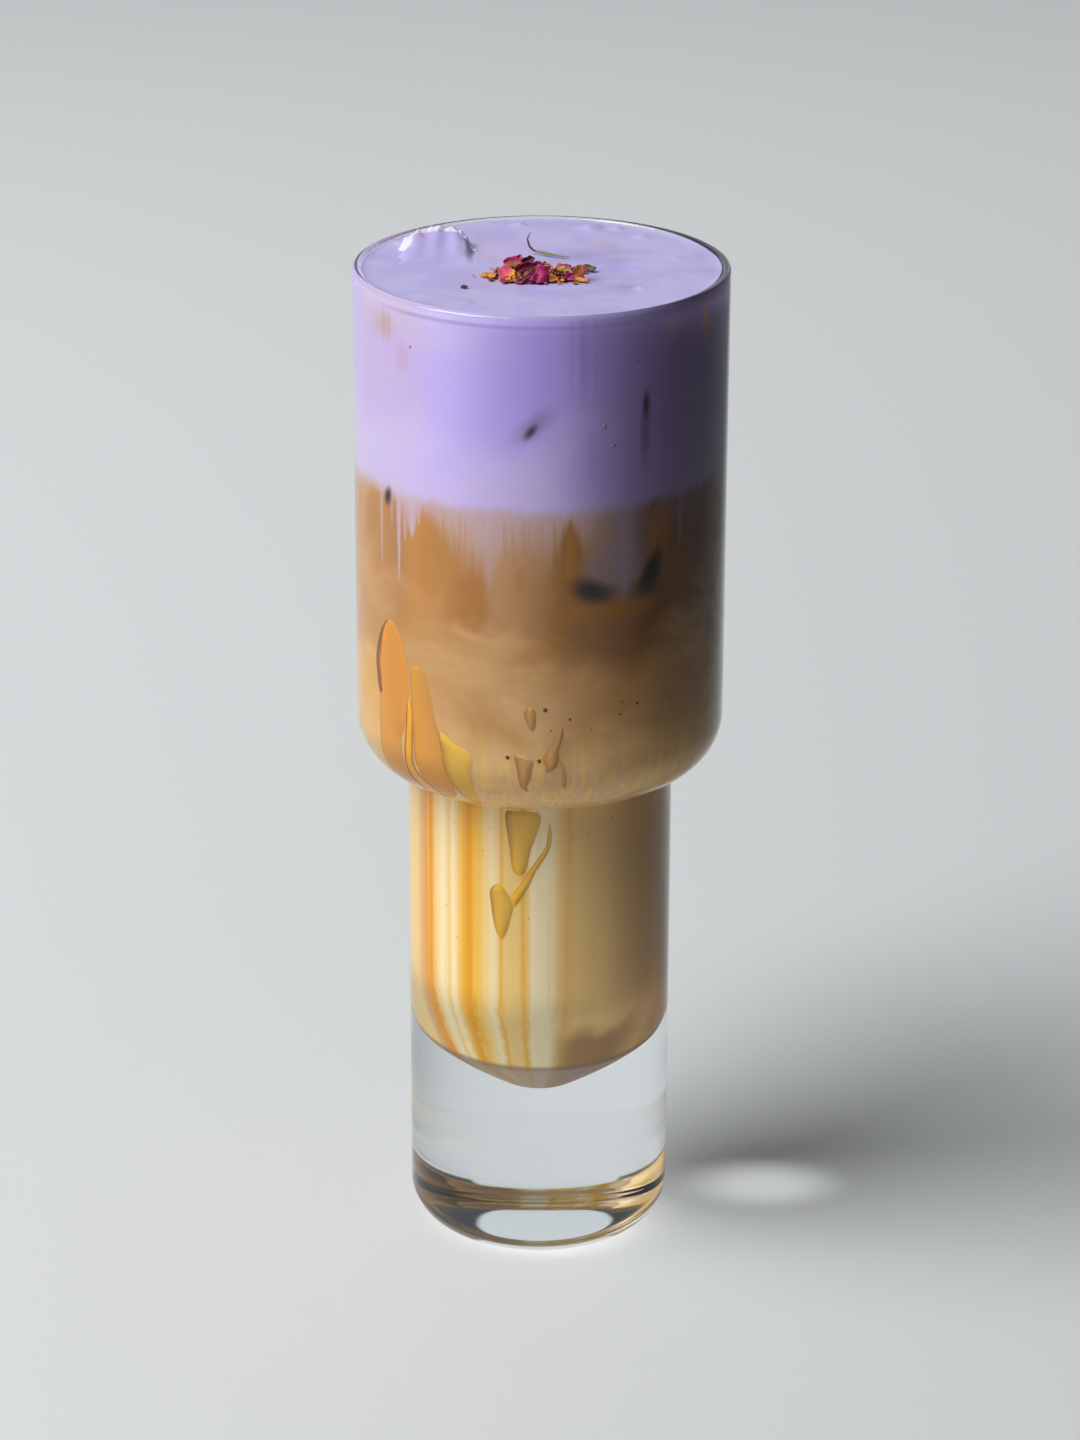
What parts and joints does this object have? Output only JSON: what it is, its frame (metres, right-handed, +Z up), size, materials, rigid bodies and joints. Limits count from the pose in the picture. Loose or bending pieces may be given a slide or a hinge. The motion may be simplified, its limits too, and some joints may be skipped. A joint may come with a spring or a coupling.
{
  "type": "lavender latte in a stepped glass",
  "caption": "Tall stepped glass of iced latte in layers of milk, latte, coffee and lavender foam, with dried rose petals on top.",
  "frame": {"origin": "centre of the foot's underside, where the glass stands", "axes": "+Z up along the glass's axis; the petals lie towards -Y and the foam's peak towards -X and +Y"},
  "size_m": [0.07, 0.07, 0.198],
  "materials": {
    "clear_glass": "polished",
    "lavender_foam": "satin",
    "coffee": "smooth",
    "latte": "smooth",
    "milk": "smooth",
    "petals": "dry"
  },
  "bodies": {
    "root": {"glass_cup": "clear_glass", "glass_stem": "clear_glass", "lavender_foam": "lavender_foam", "coffee": "coffee", "latte": "latte", "milk": "milk", "petal_heap": "petals"}
  },
  "joints": []
}
